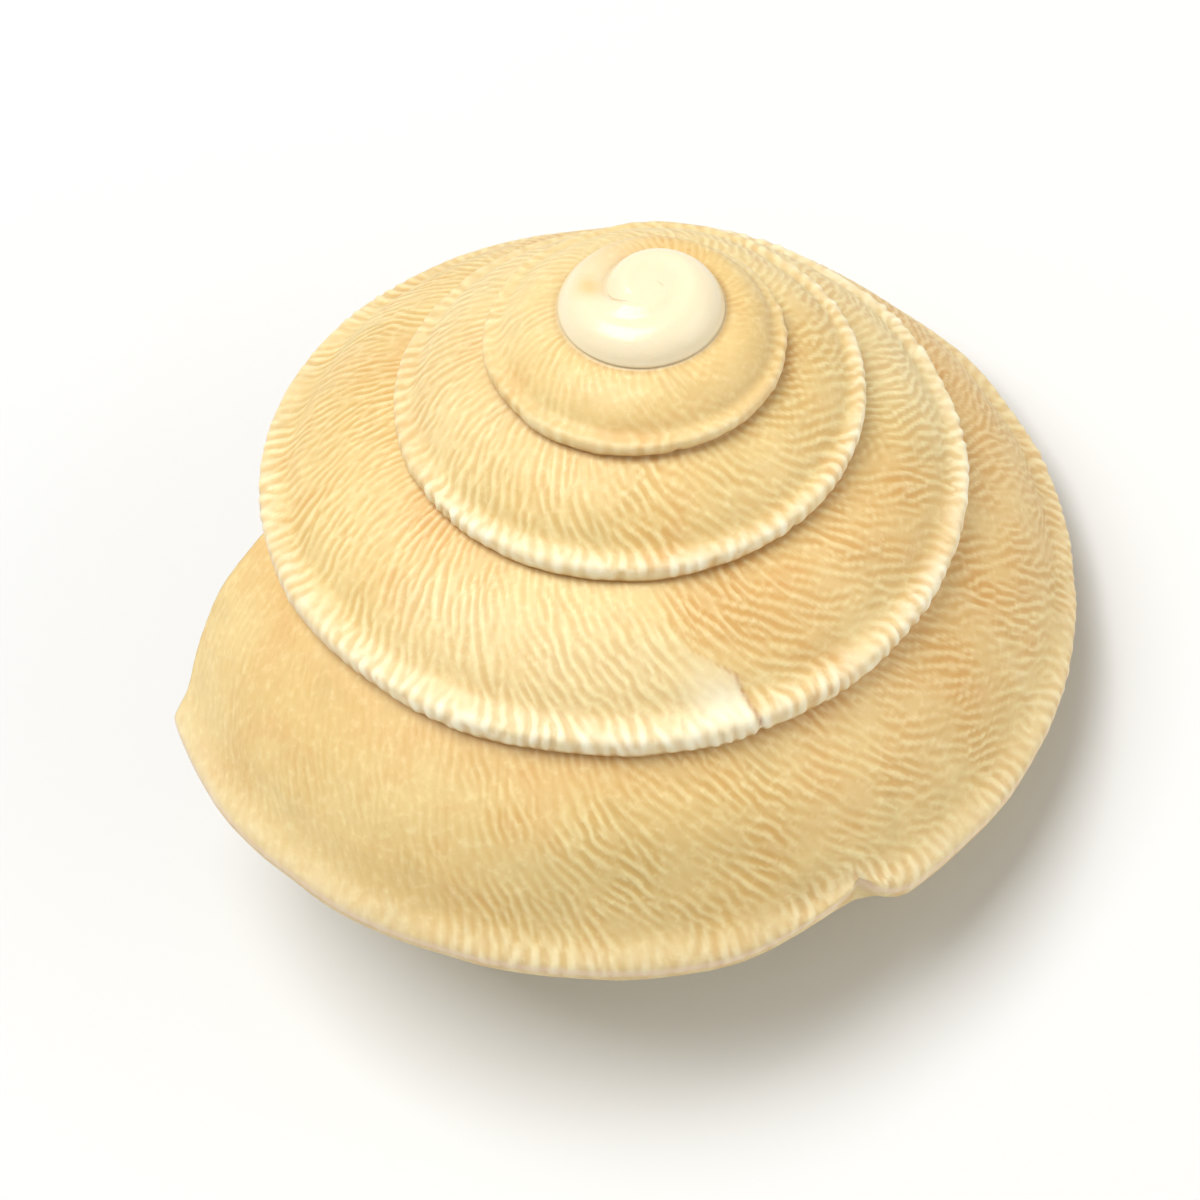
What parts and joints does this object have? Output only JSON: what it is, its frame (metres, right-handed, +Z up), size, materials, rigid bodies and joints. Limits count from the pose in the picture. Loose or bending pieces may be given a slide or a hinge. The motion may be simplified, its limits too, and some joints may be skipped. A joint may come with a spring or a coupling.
{
  "type": "land snail shell",
  "caption": "Empty keeled land snail shell: a domed right-handed spiral with crenulated, overhanging keels, hollow from its mouth, lying on its base.",
  "frame": {"origin": "centre of the bounding box at the surface that the shell lies on", "axes": "+Z up as the shell rests on its base, with the apex leaning towards +X; +X the longest extent; the mouth opens towards +Y"},
  "size_m": [0.02, 0.0192, 0.0125],
  "materials": {
    "shell": "cream to tan, finely wrinkled, soft satin sheen, smooth and glossier on the first whorls"
  },
  "bodies": {
    "root": {"shell": "shell"}
  },
  "joints": []
}
